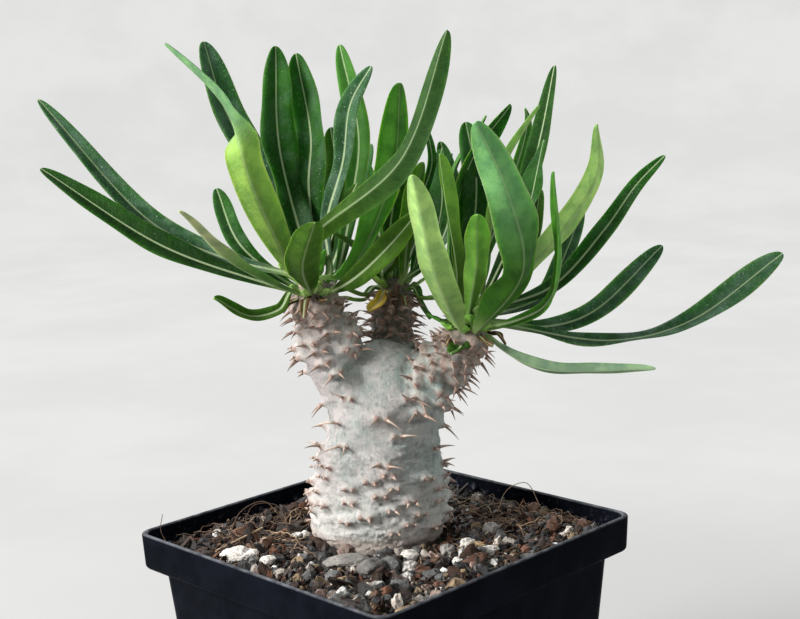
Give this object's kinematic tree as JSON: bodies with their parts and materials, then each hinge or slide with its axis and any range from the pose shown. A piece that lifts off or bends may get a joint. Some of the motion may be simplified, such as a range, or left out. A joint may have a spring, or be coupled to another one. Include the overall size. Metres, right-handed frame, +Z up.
{
  "type": "potted pachypodium gracilius",
  "caption": "Square plastic nursery pot of gritty soil holding a young caudex succulent: a swollen grey spiny stem with short arms, each topped by a rosette of narrow leaves.",
  "frame": {"origin": "middle of the pot's flat underside", "axes": "+Z up; the pot's flat sides face along X and Y; the corner between +X and -Y is the one that faces the viewer of the picture"},
  "size_m": [0.1409, 0.1381, 0.2032],
  "materials": {
    "pot": "satin moulded plastic, lightly scuffed, with a pale worn lip",
    "soil": "damp bark and peat crumbs with mineral grit",
    "stone_grey": "rough",
    "stone_dark": "rough",
    "pumice": "porous, chalky",
    "bark": "silvery papery bark with tan tubercles and brown spines",
    "leaf_green": "leathery satin leaf with a pale midrib",
    "leaf_yellow": "dying leaf, yellow and thin"
  },
  "bodies": {
    "root": {"pot": "pot", "soil": "soil", "stone_flat": "stone_grey", "stone_dark": "stone_dark", "pumice_lump": "pumice", "stem": "bark", "leaf_left_01": "leaf_green", "leaf_left_02": "leaf_green", "leaf_left_03": "leaf_green", "leaf_left_04": "leaf_green", "leaf_left_05": "leaf_green", "leaf_left_06": "leaf_green", "leaf_left_07": "leaf_green", "leaf_left_08": "leaf_green", "leaf_left_09": "leaf_green", "leaf_left_10": "leaf_green", "leaf_left_11": "leaf_green", "leaf_left_12": "leaf_green", "leaf_left_13": "leaf_green", "leaf_left_14": "leaf_green", "leaf_left_15": "leaf_green", "leaf_left_16": "leaf_green", "leaf_left_17": "leaf_green", "leaf_middle_01": "leaf_green", "leaf_middle_02": "leaf_green", "leaf_middle_03": "leaf_green", "leaf_middle_04": "leaf_green", "leaf_middle_05": "leaf_green", "leaf_middle_06": "leaf_green", "leaf_middle_07": "leaf_green", "leaf_middle_08": "leaf_green", "leaf_middle_09": "leaf_green", "leaf_middle_10": "leaf_green", "leaf_middle_11": "leaf_yellow", "leaf_middle_12": "leaf_green", "leaf_middle_13": "leaf_green", "leaf_middle_14": "leaf_green", "leaf_right_01": "leaf_green", "leaf_right_02": "leaf_green", "leaf_right_03": "leaf_green", "leaf_right_04": "leaf_green", "leaf_right_05": "leaf_green", "leaf_right_06": "leaf_green", "leaf_right_07": "leaf_green", "leaf_right_08": "leaf_green", "leaf_right_09": "leaf_green", "leaf_right_10": "leaf_green", "leaf_right_11": "leaf_green", "leaf_right_12": "leaf_green", "leaf_right_13": "leaf_green", "leaf_right_14": "leaf_green", "leaf_right_15": "leaf_green", "leaf_right_16": "leaf_green", "leaf_right_17": "leaf_green", "leaf_right_18": "leaf_green"}
  },
  "joints": []
}
